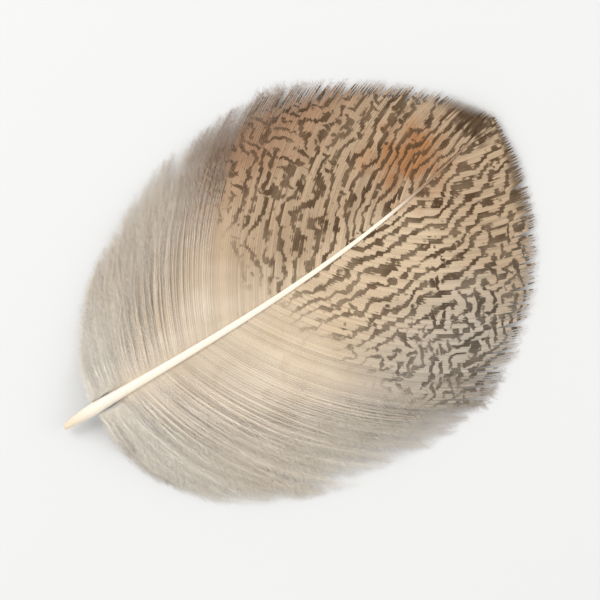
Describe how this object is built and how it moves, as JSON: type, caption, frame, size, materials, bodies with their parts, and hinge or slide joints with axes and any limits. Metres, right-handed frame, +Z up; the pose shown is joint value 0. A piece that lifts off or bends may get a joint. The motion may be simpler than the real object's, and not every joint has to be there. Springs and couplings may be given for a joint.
{
  "type": "feather",
  "caption": "Broad body feather lying on its hollow side: bare quill, bowed rachis, downy locks on the lower half, firm rounded vanes above and a small afterfeather beneath",
  "frame": {"origin": "Centre of the feather's length and width, on the surface that it lies on", "axes": "+X runs from the quill to the tip, +Y is the feather's left, seen from above with the tip ahead, and +Z is up from its outer side"},
  "size_m": [0.052, 0.039, 0.0055],
  "materials": {
    "shaft": "smooth ivory keratin with a soft shine",
    "vane": "close barbs, finely freckled dark brown on warm buff",
    "down": "loose soft barbs, cream to pale grey"
  },
  "bodies": {
    "root": {"shaft": "shaft", "left_vane": "vane", "right_vane": "vane", "left_down": "down", "right_down": "down", "afterfeather": "down"}
  },
  "joints": []
}
